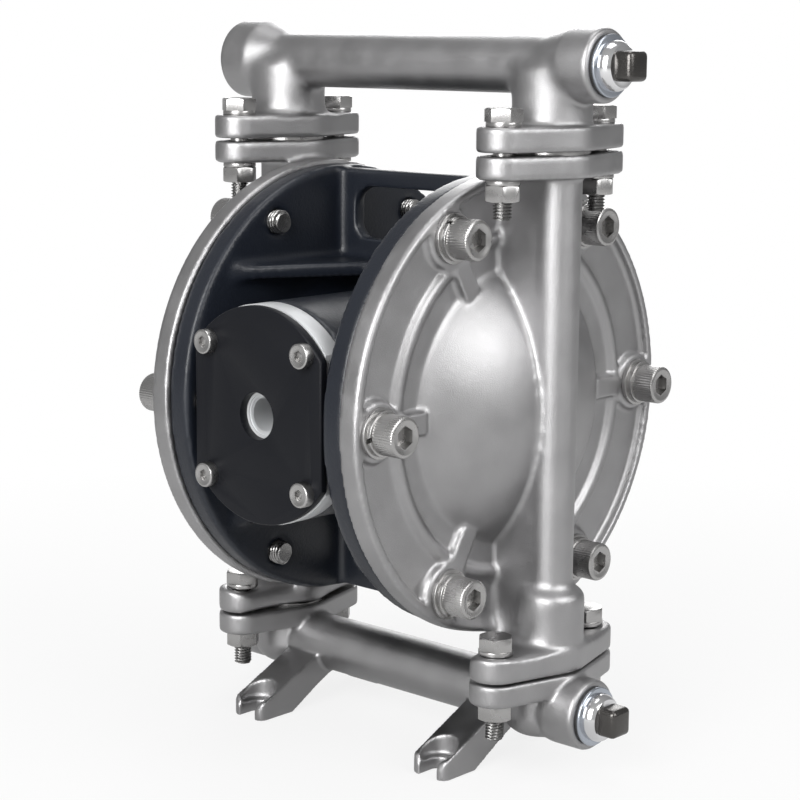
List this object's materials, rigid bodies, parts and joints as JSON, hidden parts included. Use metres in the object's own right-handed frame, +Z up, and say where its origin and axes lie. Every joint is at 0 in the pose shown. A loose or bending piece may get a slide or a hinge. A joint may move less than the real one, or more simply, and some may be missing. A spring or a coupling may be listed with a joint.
{
  "type": "air operated diaphragm pump",
  "caption": "Air operated double diaphragm pump with bare cast metal covers and manifolds, a dark centre body, a round air valve at the front and slotted feet.",
  "frame": {"origin": "On the floor, at the middle of the four foot slots", "axes": "+X along the diaphragm shaft towards the plugged ends of the manifolds, +Y away from the air valve, +Z up"},
  "size_m": [0.2144, 0.188, 0.2994],
  "materials": {
    "black_body": "satin",
    "cast_steel": "blasted",
    "bright_steel": "turned",
    "fastener_steel": "drawn",
    "plated_plug": "polished",
    "plain_aluminium": "satin",
    "bush_bronze": "turned",
    "diaphragm_rubber": "moulded",
    "seal_rubber": "moulded",
    "gasket_sheet": "matte",
    "ball_plastic": "smooth"
  },
  "bodies": {
    "pump_body": {"centre_body": "black_body", "right_fluid_cover": "cast_steel", "left_fluid_cover": "cast_steel", "outlet_manifold": "cast_steel", "inlet_manifold": "cast_steel", "right_diaphragm": "diaphragm_rubber", "left_diaphragm": "diaphragm_rubber", "shaft_bushes": "bush_bronze", "shaft_seals": "seal_rubber", "valve_cover": "black_body", "valve_cover_gasket": "gasket_sheet", "valve_body": "plain_aluminium", "valve_body_gasket": "gasket_sheet", "valve_sleeve": "plain_aluminium", "sleeve_caps": "plain_aluminium", "outlet_seats": "bright_steel", "inlet_seats": "bright_steel", "outlet_seat_seals": "seal_rubber", "inlet_seat_seals": "seal_rubber", "right_cover_screws": "fastener_steel", "left_cover_screws": "fastener_steel", "right_cover_flat_washers": "fastener_steel", "left_cover_flat_washers": "fastener_steel", "right_cover_spring_washers": "fastener_steel", "left_cover_spring_washers": "fastener_steel", "outlet_flange_bolts": "fastener_steel", "outlet_flange_head_washers": "fastener_steel", "outlet_flange_nut_washers": "fastener_steel", "outlet_flange_nuts": "fastener_steel", "inlet_flange_bolts": "fastener_steel", "inlet_flange_washers": "fastener_steel", "inlet_flange_nuts": "fastener_steel", "valve_cover_screws": "fastener_steel", "outlet_plug": "plated_plug", "inlet_plug": "plated_plug", "outlet_plug_seal": "seal_rubber", "inlet_plug_seal": "seal_rubber"},
    "shaft_assembly": {"diaphragm_shaft": "bright_steel", "right_inner_plate": "plain_aluminium", "left_inner_plate": "plain_aluminium", "right_outer_plate": "bright_steel", "left_outer_plate": "bright_steel"},
    "pilot_rod_body": {"pilot_rod": "bright_steel", "pilot_rod_seals": "seal_rubber"},
    "spool_body": {"valve_spool": "bright_steel"},
    "outlet_ball_left_body": {"outlet_ball_left": "ball_plastic"},
    "outlet_ball_right_body": {"outlet_ball_right": "ball_plastic"},
    "inlet_ball_left_body": {"inlet_ball_left": "ball_plastic"},
    "inlet_ball_right_body": {"inlet_ball_right": "ball_plastic"}
  },
  "joints": [
    {"name": "shaft_slide", "type": "slide", "parent": "pump_body", "child": "shaft_assembly", "axis": [1, 0, 0], "range_m": [-0.007, 0.007], "deforming": ["right_diaphragm", "left_diaphragm"]},
    {"name": "pilot_rod_slide", "type": "slide", "parent": "pump_body", "child": "pilot_rod_body", "axis": [1, 0, 0], "range_m": [-0.0028, 0.0028]},
    {"name": "spool_slide", "type": "slide", "parent": "pump_body", "child": "spool_body", "axis": [0, 0, 1], "range_m": [0, 0.0079]},
    {"name": "outlet_ball_left_lift", "type": "slide", "parent": "pump_body", "child": "outlet_ball_left_body", "axis": [0, 0, 1], "range_m": [0, 0.005]},
    {"name": "outlet_ball_right_lift", "type": "slide", "parent": "pump_body", "child": "outlet_ball_right_body", "axis": [0, 0, 1], "range_m": [0, 0.005]},
    {"name": "inlet_ball_left_lift", "type": "slide", "parent": "pump_body", "child": "inlet_ball_left_body", "axis": [0, 0, 1], "range_m": [0, 0.005]},
    {"name": "inlet_ball_right_lift", "type": "slide", "parent": "pump_body", "child": "inlet_ball_right_body", "axis": [0, 0, 1], "range_m": [0, 0.005]}
  ],
  "couplings": [
    {"joint": "pilot_rod_slide", "follows": "shaft_slide", "ratio": 0.4}
  ]
}
